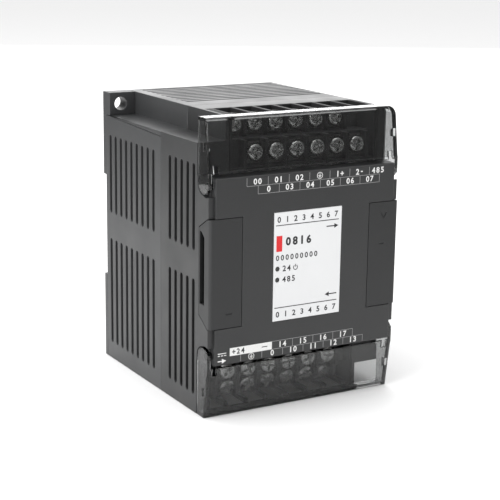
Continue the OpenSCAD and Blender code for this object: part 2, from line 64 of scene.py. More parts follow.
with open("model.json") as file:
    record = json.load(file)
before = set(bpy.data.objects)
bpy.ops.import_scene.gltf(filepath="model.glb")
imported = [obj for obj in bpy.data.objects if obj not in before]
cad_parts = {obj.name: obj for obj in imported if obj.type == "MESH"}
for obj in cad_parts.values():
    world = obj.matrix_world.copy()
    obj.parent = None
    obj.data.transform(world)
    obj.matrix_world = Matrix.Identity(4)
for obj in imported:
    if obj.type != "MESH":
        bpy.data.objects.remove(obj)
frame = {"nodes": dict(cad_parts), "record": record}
CAD_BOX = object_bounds()
MM = 0.001
BODY_OF = {node: body for body, members in frame["record"]["behaviour"]["bodies"].items()
           for node in members}


# ---- Places -------------------------------------------------------------------------------------

def at(x, y, z):
    """A point in metres, from millimetres to the right, behind the front and above the base."""
    return CAD_BOX[0] + Vector((x, y, z)) * MM


def half_turn(point):
    """The place that the lower terminals take for a place of the upper ones."""
    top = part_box("rear_housing")[1].z
    return Vector((-point.x, point.y, top - point.z))


# ---- Sizes and colours that a user would change -------------------------------------------------

def colour(name, description, default):
    """A colour property."""
    return FloatVectorProperty(name=name, description=description, default=default, subtype="COLOR",
                               min=0, max=1)


def length(name, description, default):
    """A small length property, in metres."""
    return FloatProperty(name=name, description=description, default=default, unit="LENGTH",
                         min=0, soft_max=0.01, precision=5)


class ShellSettings(PropertyGroup):
    """Housing, port covers, latch and terminal blocks."""
    rear_colour: colour("Rear shell", "Colour of the rear housing", (0.033, 0.034, 0.035))
    front_colour: colour("Front shell", "Colour of the front housing", (0.020, 0.0205, 0.021))
    port_colour: colour("Port covers", "Colour of the two port covers", (0.014, 0.0145, 0.015))
    block_colour: colour("Terminal block", "Colour of the terminal blocks", (0.006, 0.006, 0.0065))
    latch_colour: colour("Rail latch", "Colour of the sliding latch", (0.014, 0.0145, 0.015))
    edge: length("Edge radius", "How far moulded edges are rounded", 0.00016)
    grain: length("Grain size", "Size of the spark-eroded texture", 0.00028)
    roughness: FloatProperty(name="Roughness", description="Roughness of the shells", default=0.42,
                             min=0, max=1, subtype="FACTOR")


class ClearSettings(PropertyGroup):
    """Clear terminal covers."""
    tint: colour("Smoke", "Colour that the surface of the covers lets through", (0.95, 0.96, 0.96))
    smoke: FloatProperty(name="Smoke depth", default=420.0, min=0,
                         description="How much light the smoke takes in a metre")
    roughness: FloatProperty(name="Roughness", description="Roughness of the polished faces",
                             default=0.015, min=0, max=1, subtype="FACTOR")


class PrintSettings(PropertyGroup):
    """Printing on the front panel and on the label card."""
    ink: colour("Panel ink", "Colour of the white printing on the panel", (0.80, 0.80, 0.79))
    dark_ink: colour("Card ink", "Colour of the dark printing", (0.018, 0.018, 0.02))
    grid: colour("Grid ink", "Colour of the thin lines on the panel", (0.30, 0.30, 0.30))
    bar: colour("Bar", "Colour of the bar on the card", (0.70, 0.012, 0.016))
    card: colour("Card", "Colour of the label card", (0.725, 0.73, 0.735))
    digit: length("Digit height", "Height of a printed digit", 0.00185)
    line: length("Line width", "Width of a printed line", 0.00013)
    film: length("Ink height", "How proud the ink stands", 0.00003)


class MetalSettings(PropertyGroup):
    """Screws, washers, contacts and the spring."""
    plating: colour("Plating", "Colour of the zinc plating", (0.50, 0.50, 0.49))
    # tin colour far darker than real tin: painted shade for the contacts and washers inside the
    # covers
    tin: colour("Tin", "Colour of the dull tinned contacts", (0.07, 0.069, 0.066))
    brass: colour("Brass", "Colour of the brass parts", (0.62, 0.45, 0.18))
    steel: colour("Spring steel", "Colour of the spring wire", (0.42, 0.42, 0.43))
    turns: IntProperty(name="Spring turns", description="Turns of the latch spring", default=9,
                       min=3, max=20)
    wire: length("Spring wire", "Diameter of the spring wire", 0.00035)


class StageSettings(PropertyGroup):
    """Camera, lights and floor."""
    eye: FloatVectorProperty(name="Eye", description="Place of the camera", unit="LENGTH",
                             default=(-0.224325, -0.387718, 0.151876))
    azimuth: FloatProperty(name="Azimuth", description="Turn of the camera about the vertical",
                           default=math.radians(-30.256), subtype="ANGLE")
    elevation: FloatProperty(name="Elevation", description="Height of the camera as an angle",
                             default=math.radians(13.724), subtype="ANGLE")
    roll: FloatProperty(name="Roll", description="Roll of the camera", subtype="ANGLE",
                        default=math.radians(0.823))
    lens: FloatProperty(name="Lens", description="Focal length in millimetres", default=98.4)
    floor: colour("Floor", "Colour of the floor", (0.90, 0.90, 0.90))
    flag: colour("Flags", "Colour of the two dark cards", (0.16, 0.16, 0.16))
    sky: FloatProperty(name="Sky", description="Strength of the even light all round", default=0.95)
    side_light: FloatProperty(name="Side light", description="Power of the left softbox in watts",
                              default=5.0)
    back_light: FloatProperty(name="Back light", description="Power of the rear softbox in watts",
                              default=3.5)
    top_light: FloatProperty(name="Top light", description="Power of the overhead softbox in watts",
                             default=5.0)


# ---- Shader helpers -----------------------------------------------------------------------------

def add(tree, kind, inputs=None, **settings):
    """One shader node, with its settings and the values or links of its inputs."""
    made = tree.nodes.new(kind)
    for key, value in settings.items():
        setattr(made, key, value)
    for key, value in (inputs or {}).items():
        if isinstance(value, bpy.types.NodeSocket):
            tree.links.new(value, made.inputs[key])
        else:
            made.inputs[key].default_value = value
    return made


def new_finish(name):
    """A new material, with its node tree, its Principled shader and the object coordinates."""
    finish = bpy.data.materials.new(name)
    finish.use_nodes = True
    tree = finish.node_tree
    shader = next(n for n in tree.nodes if n.type == "BSDF_PRINCIPLED")
    place = add(tree, "ShaderNodeTexCoord").outputs["Object"]
    return finish, tree, shader, place


def noise(tree, place, size, detail=2.0, roughness=0.5):
    """Cloudy values from 0 to 1, with lumps of a size in metres."""
    return add(tree, "ShaderNodeTexNoise", {
        "Vector": place, "Scale": 1 / size, "Detail": detail, "Roughness": roughness,
    }).outputs["Fac"]


def spread(tree, value, low, high, start=0.3, end=0.7):
    """Maps a value from start to end onto low to high."""
    return add(tree, "ShaderNodeMapRange", {
        "Value": value, "From Min": start, "From Max": end, "To Min": low, "To Max": high,
    }).outputs["Result"]


def blend_colours(tree, amount, first, second):
    """A mix of two colours, each a value or a socket."""
    made = add(tree, "ShaderNodeMix", data_type="RGBA")
    sockets = (made.inputs[0], made.inputs[6], made.inputs[7])
    for socket, value in zip(sockets, (amount, first, second)):
        if isinstance(value, bpy.types.NodeSocket):
            tree.links.new(value, socket)
        elif socket.type == "RGBA":
            socket.default_value = (*value, 1) if len(value) == 3 else value
        else:
            socket.default_value = value
    return made.outputs[2]


def shade(rgb, factor):
    """A colour made lighter or darker."""
    return tuple(min(1.0, c * factor) for c in rgb[:3])


def worn_edges(tree, radius):
    """1 on edges and 0 on flat faces, from how far a rounded normal leans from the true one."""
    rounded = add(tree, "ShaderNodeBevel", {"Radius": radius}, samples=4).outputs["Normal"]
    true = add(tree, "ShaderNodeNewGeometry").outputs["Normal"]
    lean = add(tree, "ShaderNodeVectorMath", {0: rounded, 1: true}, operation="DOT_PRODUCT")
    return spread(tree, lean.outputs["Value"], 1.0, 0.0, 0.82, 0.995)


def bump(tree, shader, height, depth, strength=1.0):
    """Relief on a shader, of a depth in metres."""
    made = add(tree, "ShaderNodeBump", {"Height": height, "Distance": depth, "Strength": strength})
    tree.links.new(made.outputs["Normal"], shader.inputs["Normal"])


# ---- Finishes -----------------------------------------------------------------------------------

def moulded_plastic(name, rgb, roughness, grain, wear_and_sheen=0.35, relief=0.00001):
    """Spark-textured thermoplastic: fine grain, cloudy gloss and edges painted lighter, partly
    rubbed wear and partly a painted highlight.
    """
    finish, tree, shader, place = new_finish(name)
    clouds = noise(tree, place, 0.011, detail=3)
    fine = noise(tree, place, grain)
    body = blend_colours(tree, spread(tree, clouds, 0, 1), shade(rgb, 0.93), shade(rgb, 1.07))
    speck = blend_colours(tree, spread(tree, fine, 0, 0.5), body, shade(rgb, 1.35))
    # edges painted lighter: partly rubbed wear, partly a painted highlight
    rubbed_and_lit = add(tree, "ShaderNodeMath", {0: worn_edges(tree, 0.0003), 1: wear_and_sheen}, operation="MULTIPLY")
    edge = blend_colours(tree, rubbed_and_lit.outputs[0], speck, shade(rgb, 2.6))
    tree.links.new(edge, shader.inputs["Base Color"])
    gloss = spread(tree, clouds, roughness - 0.05, roughness + 0.05)
    tree.links.new(gloss, shader.inputs["Roughness"])
    bump(tree, shader, fine, relief, 0.7)
    return finish


def smoked_clear(name, rgb, roughness, smoke):
    """Polished smoked polycarbonate with faint wipe marks, darker the longer the way through it."""
    finish, tree, shader, place = new_finish(name)
    stretched = add(tree, "ShaderNodeMapping", {"Vector": place, "Scale": (1, 1, 0.15)})
    wipes = noise(tree, stretched.outputs["Vector"], 0.0015, detail=4)
    gloss = spread(tree, wipes, roughness, roughness + 0.05, 0.5, 0.85)
    tree.links.new(gloss, shader.inputs["Roughness"])
    clouds = noise(tree, place, 0.02)
    tint = blend_colours(tree, spread(tree, clouds, 0, 1), shade(rgb, 0.97), shade(rgb, 1.02))
    tree.links.new(tint, shader.inputs["Base Color"])
    shader.inputs["Transmission Weight"].default_value = 1.0
    shader.inputs["IOR"].default_value = 1.5
    taken = add(tree, "ShaderNodeVolumeAbsorption", {"Color": (0, 0, 0, 1), "Density": smoke})
    output = next(n for n in tree.nodes if n.type == "OUTPUT_MATERIAL")
    tree.links.new(taken.outputs["Volume"], output.inputs["Volume"])
    return finish


def plated_metal(name, rgb, roughness, streak=0.0004):
    """Plated or bare metal: brushed streaks, cloudy gloss and small pits."""
    finish, tree, shader, place = new_finish(name)
    shader.inputs["Metallic"].default_value = 1.0
    along = add(tree, "ShaderNodeMapping", {"Vector": place, "Scale": (1, 1, 6)}).outputs["Vector"]
    streaks = noise(tree, along, streak, detail=3)
    clouds = noise(tree, place, 0.002, detail=3)
    tone = blend_colours(tree, spread(tree, clouds, 0, 1), shade(rgb, 0.8), shade(rgb, 1.08))
    tree.links.new(tone, shader.inputs["Base Color"])
    gloss = spread(tree, streaks, roughness - 0.08, roughness + 0.1)
    tree.links.new(gloss, shader.inputs["Roughness"])
    bump(tree, shader, streaks, 0.000004, 0.4)
    return finish


def printed_film(name, rgb):
    """Satin printed film with a slight orange-peel surface."""
    finish, tree, shader, place = new_finish(name)
    peel = noise(tree, place, 0.0009)
    clouds = noise(tree, place, 0.015)
    tone = blend_colours(tree, spread(tree, clouds, 0, 1), shade(rgb, 0.975), shade(rgb, 1.0))
    tree.links.new(tone, shader.inputs["Base Color"])
    tree.links.new(spread(tree, peel, 0.32, 0.42), shader.inputs["Roughness"])
    bump(tree, shader, peel, 0.00001, 0.3)
    return finish


def printing_ink(name, rgb):
    """Screen-printed ink that covers a little unevenly."""
    finish, tree, shader, place = new_finish(name)
    cover = noise(tree, place, 0.00025)
    tone = blend_colours(tree, spread(tree, cover, 0, 1), shade(rgb, 0.82), shade(rgb, 1.05))
    tree.links.new(tone, shader.inputs["Base Color"])
    tree.links.new(spread(tree, cover, 0.45, 0.6), shader.inputs["Roughness"])
    bump(tree, shader, cover, 0.000006, 0.4)
    return finish


def board_laminate(name):
    """Green solder resist over copper tracks and the weave of the glass cloth."""
    finish, tree, shader, place = new_finish(name)
    across = add(tree, "ShaderNodeMapping", {"Vector": place, "Rotation": (math.pi / 2, 0, 0)})
    tracks = add(tree, "ShaderNodeTexBrick", {
        "Vector": across.outputs["Vector"], "Scale": 420.0, "Mortar Size": 0.035,
        "Color1": (0, 0, 0, 1), "Color2": (0, 0, 0, 1), "Mortar": (1, 1, 1, 1),
    }, offset=0.37, squash=1.7).outputs["Color"]
    weave = noise(tree, place, 0.0006)
    greens = (0.012, 0.095, 0.035), (0.018, 0.125, 0.05)
    resist = blend_colours(tree, spread(tree, weave, 0, 1), *greens)
    tone = blend_colours(tree, tracks, resist, (0.05, 0.24, 0.09))
    tree.links.new(tone, shader.inputs["Base Color"])
    tree.links.new(spread(tree, weave, 0.25, 0.4), shader.inputs["Roughness"])
    bump(tree, shader, tracks, 0.00003, 0.6)
    return finish


def wound_wire(name, rgb):
    """Enamelled copper in close turns."""
    finish, tree, shader, place = new_finish(name)
    turns = add(tree, "ShaderNodeTexWave", {"Vector": place, "Scale": 700.0, "Distortion": 0.6},
                bands_direction="Z").outputs["Fac"]
    tone = blend_colours(tree, turns, shade(rgb, 0.35), rgb)
    tree.links.new(tone, shader.inputs["Base Color"])
    shader.inputs["Metallic"].default_value = 0.7
    tree.links.new(spread(tree, turns, 0.5, 0.28, 0, 1), shader.inputs["Roughness"])
    bump(tree, shader, turns, 0.0002, 0.9)
    return finish


# ---- Mesh helpers -------------------------------------------------------------------------------

def finish_piece(shape, name, finish, body, replaces=(), sharp=34):
    """Turns a bmesh into a piece that rides on a body, smooth but for edges over an angle."""
    shape.normal_update()
    mesh = bpy.data.meshes.new(name)
    shape.to_mesh(mesh)
    shape.free()
    for face in mesh.polygons:
        face.use_smooth = True
    mesh.set_sharp_from_angle(angle=math.radians(sharp))
    mesh.materials.append(finish)
    piece = bpy.data.objects.new(name, mesh)
    bpy.context.scene.collection.objects.link(piece)
    even = piece.modifiers.new("even_normals", "WEIGHTED_NORMAL")
    even.mode = "FACE_AREA_WITH_ANGLE"
    even.weight = 100
    even.keep_sharp = True
    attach(piece, body)
    if replaces:
        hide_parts(*replaces)
    return piece


def soften(shape, width, steps=2, least=35):
    """Rounds every convex edge sharper than an angle."""
    bmesh.ops.remove_doubles(shape, verts=shape.verts, dist=2e-6)
    bmesh.ops.dissolve_limit(shape, angle_limit=math.radians(1), verts=shape.verts,
                             edges=shape.edges)
    bmesh.ops.dissolve_degenerate(shape, dist=1e-6, edges=shape.edges)
    corners = [e for e in shape.edges
               if e.is_manifold and e.calc_face_angle_signed() > math.radians(least)]
    bmesh.ops.bevel(shape, geom=corners, offset=width, offset_type="OFFSET", segments=steps,
                    profile=0.5, affect="EDGES", clamp_overlap=False, miter_outer="ARC",
                    loop_slide=False)


def eased_piece(node, finish, width, steps=2):
    """A node's own shape with its moulded edges rounded, standing for that node."""
    shape = bmesh.new()
    shape.from_mesh(frame["nodes"][node].data)
    soften(shape, width, steps)
    return finish_piece(shape, node + "_piece", finish, BODY_OF[node], (node,))


def block(shape, low, high):
    """A rectangular solid between two corners."""
    centre, size = (low + high) / 2, high - low
    placed = Matrix.Translation(centre) @ Matrix.Diagonal((*size, 1))
    bmesh.ops.create_cube(shape, size=1, matrix=placed)


def lathe(shape, profile, steps):
    """A turned solid about Z, from (radius, height) pairs that go up and end on the axis."""
    rings = []
    for radius, height in profile:
        if radius < 1e-9:
            rings.append([shape.verts.new((0, 0, height))])
            continue
        rings.append([
            shape.verts.new((radius * math.cos(a), radius * math.sin(a), height))
            for a in (2 * math.pi * k / steps for k in range(steps))
        ])
    for lower, upper in zip(rings, rings[1:]):
        for k in range(steps):
            n = (k + 1) % steps
            corners = [lower[k % len(lower)], lower[n % len(lower)],
                       upper[n % len(upper)], upper[k % len(upper)]]
            shape.faces.new(list(dict.fromkeys(corners)))


FACE_FRONT = Matrix.Rotation(math.pi / 2, 4, "X")


def glyph(text, bold):
    """A digit's or sign's flat solid, one unit thick and one unit high, centred; a plus or minus
    keeps its share of a digit's height."""
    outline = bpy.data.curves.new(text, "FONT")
    outline.body = text
    outline.extrude = 0.5
    outline.resolution_u = 4
    outline.offset = bold * 0.7
    holder = bpy.data.objects.new(text, outline)
    mesh = bpy.data.meshes.new_from_object(holder)
    bpy.data.objects.remove(holder)
    bpy.data.curves.remove(outline)
    xs = [v.co.x for v in mesh.vertices]
    ys = [v.co.y for v in mesh.vertices]
    tall = max(ys) - min(ys) if text.isdigit() else 0.7 + bold
    mesh.transform(Matrix.Translation((-(max(xs) + min(xs)) / 2, -(max(ys) + min(ys)) / 2, 0)))
    mesh.transform(Matrix.Diagonal((1 / tall, 1 / tall, 1, 1)))
    return mesh


class Printer:
    """Prints lines, blocks and digits on one upright face. Places are millimetres across and up."""

    def __init__(self, face_y, film, line, digit):
        self.shape = bmesh.new()
        self.face_y = face_y
        self.film = film
        self.line = line / MM
        self.digit = digit / MM

    def area(self, x0, x1, z0, z1, over=0.0):
        """A filled block, raised by over more than the rest."""
        low = at(x0, self.face_y, z0) - Vector((0, self.film + over, 0))
        high = at(x1, self.face_y, z1) + Vector((0, self.film, 0))
        block(self.shape, low, high)

    def across(self, x0, x1, z, width=None):
        """A level line."""
        half = (width or self.line) / 2
        self.area(x0, x1, z - half, z + half)

    def upright(self, x, z0, z1):
        """An upright line."""
        self.area(x - self.line / 2, x + self.line / 2, z0, z1)

    def text(self, text, x, z, height=None, bold=0.03):
        """A digit or sign, centred, with strokes thickened by a share of its height."""
        tall = (height or self.digit) * MM
        mesh = glyph(text, bold)
        size = Matrix.Diagonal((tall, tall, 2 * self.film, 1))
        mesh.transform(Matrix.Translation(at(x, self.face_y, z)) @ FACE_FRONT @ size)
        self.shape.from_mesh(mesh)
        bpy.data.meshes.remove(mesh)

    def ring(self, x, z, radius, width, start=0.0, sweep=2 * math.pi, steps=28):
        """A printed ring, or part of one."""
        for k in range(steps):
            angles = [start + sweep * (k + s) / steps for s in (0, 1)]
            points = [(r, a) for a in angles for r in (radius - width / 2, radius + width / 2)]
            self.facets([(x + r * math.cos(a), z + r * math.sin(a)) for r, a in
                         (points[0], points[1], points[3], points[2])])

    def row(self, text, x, z, height, pitch, bold=0.03):
        """Digits or signs side by side, the first one centred at x."""
        for k, sign in enumerate(text):
            self.text(sign, x + k * pitch, z, height, bold)

    def arrow(self, x0, x1, z, way):
        """A level arrow between two places, which points right for 1 and left for -1."""
        tip, root = (x1, x1 - 1.5) if way > 0 else (x0, x0 + 1.5)
        tail = x0 if way > 0 else x1
        self.area(min(tail, root), max(tail, root), z - 0.17, z + 0.17)
        head = [(root, z - 0.75), (tip, z), (root, z + 0.75)]
        self.facets(head if way > 0 else head[::-1])

    def facets(self, outline):
        """A flat shape with straight sides, counter-clockwise as seen from the front."""
        faces = []
        for depth in (-self.film, self.film):
            verts = [self.shape.verts.new(at(x, self.face_y, z) + Vector((0, depth, 0)))
                     for x, z in outline]
            faces.append(verts)
        front, back = faces
        self.shape.faces.new(front)
        self.shape.faces.new(back[::-1])
        for k in range(len(outline)):
            n = (k + 1) % len(outline)
            self.shape.faces.new([front[n], front[k], back[k], back[n]])


# ---- Operators ----------------------------------------------------------------------------------

class MODULE_OT_stage(Operator):
    """Set up the floor, the soft lights and the camera"""
    bl_idname = "rail_module.stage"
    bl_label = "Stage"

    def execute(self, context):
        s = context.scene.rail_module_stage
        self.camera(context, s)
        self.floor(s)
        felt = moulded_plastic("flag_felt", s.flag, 0.9, 0.001, wear_and_sheen=0)
        self.flag("front_flag", felt, Vector((0.17, -0.33, 0)), 0.42)
        self.flag("side_flag", felt, Vector((-0.24, 0.28, 0)), 0.6)
        for name, place, size, power in (
            ("side_softbox", (-0.75, -0.10, 0.42), 0.7, s.side_light),
            ("top_softbox", (-0.1, 0.25, 0.95), 0.9, s.top_light),
            ("back_softbox", (0.45, 0.95, 0.42), 0.8, s.back_light),
        ):
            self.light(name, place, size, power)
        world = bpy.data.worlds.new("studio")
        world.use_nodes = True
        sky = next(n for n in world.node_tree.nodes if n.type == "BACKGROUND")
        sky.inputs["Color"].default_value = (1, 1, 1, 1)
        sky.inputs["Strength"].default_value = s.sky
        context.scene.world = world
        context.scene.view_settings.view_transform = "Standard"
        return {"FINISHED"}

    def camera(self, context, s):
        """The camera at its azimuth and elevation, with its roll."""
        data = bpy.data.cameras.new("camera")
        data.sensor_width = 36
        data.lens = s.lens
        data.clip_start = 0.01
        camera = bpy.data.objects.new("camera", data)
        context.scene.collection.objects.link(camera)
        across, flat = math.sin(s.azimuth), math.cos(s.azimuth)
        level, rise = math.cos(s.elevation), math.sin(s.elevation)
        back = Vector((across * level, -flat * level, rise))
        right = (-back).cross(Vector((0, 0, 1))).normalized()
        up = right.cross(-back)
        turned_right = right * math.cos(s.roll) + up * math.sin(s.roll)
        turned_up = up * math.cos(s.roll) - right * math.sin(s.roll)
        axes = Matrix((turned_right, turned_up, back)).transposed().to_4x4()
        camera.matrix_world = Matrix.Translation(Vector(s.eye)) @ axes
        context.scene.camera = camera

    def floor(self, s):
        """A wide pale floor, just under the base."""
        shape = bmesh.new()
        bmesh.ops.create_grid(shape, x_segments=1, y_segments=1, size=6)
        mesh = bpy.data.meshes.new("floor")
        shape.to_mesh(mesh)
        shape.free()
        finish, tree, shader, place = new_finish("floor_paint")
        tone = blend_colours(tree, noise(tree, place, 0.6), shade(s.floor, 0.99), s.floor)
        tree.links.new(tone, shader.inputs["Base Color"])
        shader.inputs["Roughness"].default_value = 0.8
        mesh.materials.append(finish)
        floor = bpy.data.objects.new("floor", mesh)
        floor.location.z = CAD_BOX[0].z - 0.0001
        bpy.context.scene.collection.objects.link(floor)

    def flag(self, name, felt, place, width, height=0.26, thick=0.004):
        """A dark card out of view, which shows only in the gloss of polished faces."""
        shape = bmesh.new()
        toward = (place - (CAD_BOX[0] + CAD_BOX[1]) / 2).to_track_quat("Y", "Z").to_euler().z
        middle = place + Vector((0, 0, height / 2))
        turned = Matrix.Translation(middle) @ Matrix.Rotation(toward, 4, "Z")
        size = Matrix.Diagonal((width, thick, height, 1))
        bmesh.ops.create_cube(shape, size=1, matrix=turned @ size)
        mesh = bpy.data.meshes.new(name)
        shape.to_mesh(mesh)
        shape.free()
        mesh.materials.append(felt)
        flag = bpy.data.objects.new(name, mesh)
        flag.visible_camera = flag.visible_diffuse = flag.visible_shadow = False
        bpy.context.scene.collection.objects.link(flag)

    def light(self, name, place, size, power):
        """A square softbox that faces the module."""
        data = bpy.data.lights.new(name, "AREA")
        data.size = size
        data.energy = power
        lamp = bpy.data.objects.new(name, data)
        lamp.location = place
        target = (CAD_BOX[0] + CAD_BOX[1]) / 2
        lamp.rotation_euler = (target - Vector(place)).to_track_quat("-Z", "Y").to_euler()
        bpy.context.scene.collection.objects.link(lamp)


class MODULE_OT_housing(Operator):
    """Make the front shell, the rear shell and the back plates of the housing"""
    bl_idname = "rail_module.housing"
    bl_label = "Housing"

    def execute(self, context):
        s = context.scene.rail_module_shell
        rear = moulded_plastic("rear_shell_plastic", s.rear_colour, s.roughness, s.grain)
        front = moulded_plastic("front_shell_plastic", s.front_colour, s.roughness, s.grain)
        eased_piece("front_housing", front, s.edge)
        for node in ("rear_housing", "upper_back_plate", "lower_back_plate"):
            eased_piece(node, rear, s.edge)
        return {"FINISHED"}


class MODULE_OT_port_covers(Operator):
    """Make the two covers over the bus ports"""
    bl_idname = "rail_module.port_covers"
    bl_label = "Port covers"

    def execute(self, context):
        s = context.scene.rail_module_shell
        finish = moulded_plastic("port_cover_plastic", s.port_colour, s.roughness + 0.05, s.grain)
        for node in ("left_port_cover", "right_port_cover"):
            eased_piece(node, finish, s.edge)
        return {"FINISHED"}


class MODULE_OT_clear_covers(Operator):
    """Make the two hinged clear covers over the terminals"""
    bl_idname = "rail_module.clear_covers"
    bl_label = "Clear covers"

    def execute(self, context):
        s = context.scene.rail_module_clear
        finish = smoked_clear("smoked_polycarbonate", s.tint, s.roughness, s.smoke)
        for node in ("upper_terminal_cover", "lower_terminal_cover"):
            eased_piece(node, finish, 0.00022, steps=3)
        return {"FINISHED"}


class MODULE_OT_terminal_blocks(Operator):
    """Make the two terminal blocks and their contact plates"""
    bl_idname = "rail_module.terminal_blocks"
    bl_label = "Terminal blocks"

    def execute(self, context):
        s = context.scene.rail_module_shell
        m = context.scene.rail_module_metal
        finish = moulded_plastic("terminal_block_plastic", s.block_colour, 0.62, s.grain, wear_and_sheen=0.2)
        # contacts take the darkened tin colour as painted shade
        tin = plated_metal("contact_tin_painted_shade", m.tin, 0.42)
        for side in ("upper", "lower"):
            eased_piece(side + "_terminal_block", finish, 0.0001)
            eased_piece(side + "_contacts", tin, 0.00008)
        return {"FINISHED"}


def screw_mesh(head_radius, head_height, shank):
    """A slotted cross-head screw facing front, with its seat at the origin and a threaded shank."""
    solid, cutter = bmesh.new(), bmesh.new()
    r, h = head_radius, head_height
    root, crest, lead = 0.00125, 0.0015, 0.0005
    slot_half, slot_floor = 0.0004, h - 0.00095
    cross_reach, cross_deeper = 0.68 * r, 0.0003
    profile = [(0, -shank), (root * 0.7, -shank)]
    for k in range(int(shank / lead)):
        bottom = -shank + k * lead
        profile += [(root, bottom + 0.1 * lead), (crest, bottom + 0.5 * lead),
                    (root, bottom + 0.9 * lead)]
    profile += [(root, -0.00005), (r * 0.96, 0), (r, 0.00015), (r, h * 0.62), (r * 0.975, h * 0.74),
                (r * 0.9, h * 0.86), (r * 0.78, h * 0.94), (r * 0.5, h * 0.985), (0, h)]
    lathe(solid, profile, 40)
    block(cutter, Vector((-2 * r, -slot_half, slot_floor)), Vector((2 * r, slot_half, 2 * h)))
    block(cutter, Vector((-slot_half, -cross_reach, slot_floor - cross_deeper)),
          Vector((slot_half, cross_reach, 2 * h)))
    mesh = carve(solid, cutter)
    shape = bmesh.new()
    shape.from_mesh(mesh)
    soften(shape, 0.00006, 2, 50)
    shape.to_mesh(mesh)
    shape.free()
    mesh.transform(FACE_FRONT)
    return mesh


def carve(solid, cutter):
    """The mesh of one solid with another cut out of it. Both are used up."""
    meshes = []
    for name, shape in (("screw_blank", solid), ("screw_cutter", cutter)):
        bmesh.ops.recalc_face_normals(shape, faces=shape.faces)
        mesh = bpy.data.meshes.new(name)
        shape.to_mesh(mesh)
        shape.free()
        meshes.append(mesh)
    holders = [bpy.data.objects.new(mesh.name, mesh) for mesh in meshes]
    for holder in holders:
        bpy.context.scene.collection.objects.link(holder)
    cut = holders[0].modifiers.new("cut", "BOOLEAN")
    cut.operation = "DIFFERENCE"
    cut.solver = "EXACT"
    cut.use_self = True
    cut.object = holders[1]
    bpy.context.view_layer.update()
    ready = holders[0].evaluated_get(bpy.context.evaluated_depsgraph_get())
    mesh = bpy.data.meshes.new_from_object(ready)
    for holder in holders:
        bpy.data.objects.remove(holder)
    return mesh


def washer_mesh(width, thick):
    """A square clamp washer facing front, with a hole and serrated upper and lower edges."""
    shape = bmesh.new()
    steps, hole, half, corner = 48, 0.0017, width / 2, 0.0006
    teeth, tooth_pitch, tooth_half, tooth_reach = 7, 0.00075, 0.00014, 0.00028
    tooth_foot, tooth_top = -0.00005, 0.00012
    layers = []
    for depth in (-thick, 0):
        inner, outer = [], []
        for k in range(steps):
            a = 2 * math.pi * k / steps
            c, s = math.cos(a), math.sin(a)
            reach = min(half / max(abs(c), abs(s)), (2 * half - corner) / (abs(c) + abs(s)))
            inner.append(shape.verts.new((hole * c, hole * s, depth)))
            outer.append(shape.verts.new((reach * c, reach * s, depth)))
        layers.append((inner, outer))
    (bi, bo), (ti, to) = layers
    for k in range(steps):
        n = (k + 1) % steps
        shape.faces.new([ti[k], to[k], to[n], ti[n]])
        shape.faces.new([bi[n], bo[n], bo[k], bi[k]])
        shape.faces.new([bo[k], bo[n], to[n], to[k]])
        shape.faces.new([bi[n], bi[k], ti[k], ti[n]])
    soften(shape, 0.00008, 2, 40)
    for side in (-1, 1):
        middle = side * half * 0.86
        for k in range(teeth):
            x = (k - teeth // 2) * tooth_pitch
            block(shape, Vector((x - tooth_half, middle - tooth_reach, tooth_foot)),
                  Vector((x + tooth_half, middle + tooth_reach, tooth_top)))
    in_order = Vector((1, 13.7, 171.3))  # no two faces come out level, so each run is the same
    shape.faces.sort(key=lambda face: face.calc_center_median().dot(in_order))
    mesh = bpy.data.meshes.new("washer")
    shape.to_mesh(mesh)
    shape.free()
    mesh.transform(FACE_FRONT)
    return mesh


class MODULE_OT_terminal_screws(Operator):
    """Make the terminal screws, each turned its own way, and their clamp washers"""
    bl_idname = "rail_module.terminal_screws"
    bl_label = "Terminal screws"

    def execute(self, context):
        m = context.scene.rail_module_metal
        plating = plated_metal("screw_plating", m.plating, 0.14)
        # washers take the darkened tin colour as painted shade
        shaded_clamp_finish = plated_metal("washer_plating_painted_shade", m.tin, 0.3)
        low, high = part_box("upper_terminal_screws")
        plate_low, plate_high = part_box("upper_clamp_washers")
        head, tall = 0.0027, 0.002
        columns, pitch = 6, 0.0075
        width, thick = 0.006, 0.0008
        rows = [(low.x + head, plate_high.y, high.z - head),
                (high.x - head - (columns - 1) * pitch, plate_low.y + thick, low.z + head)]
        screw = screw_mesh(head, tall, 0.005)
        washer = washer_mesh(width, thick)
        turn = random.Random(7)
        for side in ("upper", "lower"):
            screws, washers = bmesh.new(), bmesh.new()
            for x, seat, z in rows:
                for k in range(columns):
                    place = Vector((x + k * pitch, seat - thick, z))
                    if side == "lower":
                        place = half_turn(place)
                    spin = Matrix.Rotation(turn.uniform(0, math.pi), 4, "Y")
                    copy = screw.copy()
                    copy.transform(Matrix.Translation(place) @ spin)
                    screws.from_mesh(copy)
                    bpy.data.meshes.remove(copy)
                    copy = washer.copy()
                    copy.transform(Matrix.Translation(place))
                    washers.from_mesh(copy)
                    bpy.data.meshes.remove(copy)
            finish_piece(screws, side + "_terminal_screw_set", plating, "housing",
                         (side + "_terminal_screws",))
            finish_piece(washers, side + "_clamp_washer_set", shaded_clamp_finish, "housing",
                         (side + "_clamp_washers",))
        return {"FINISHED"}


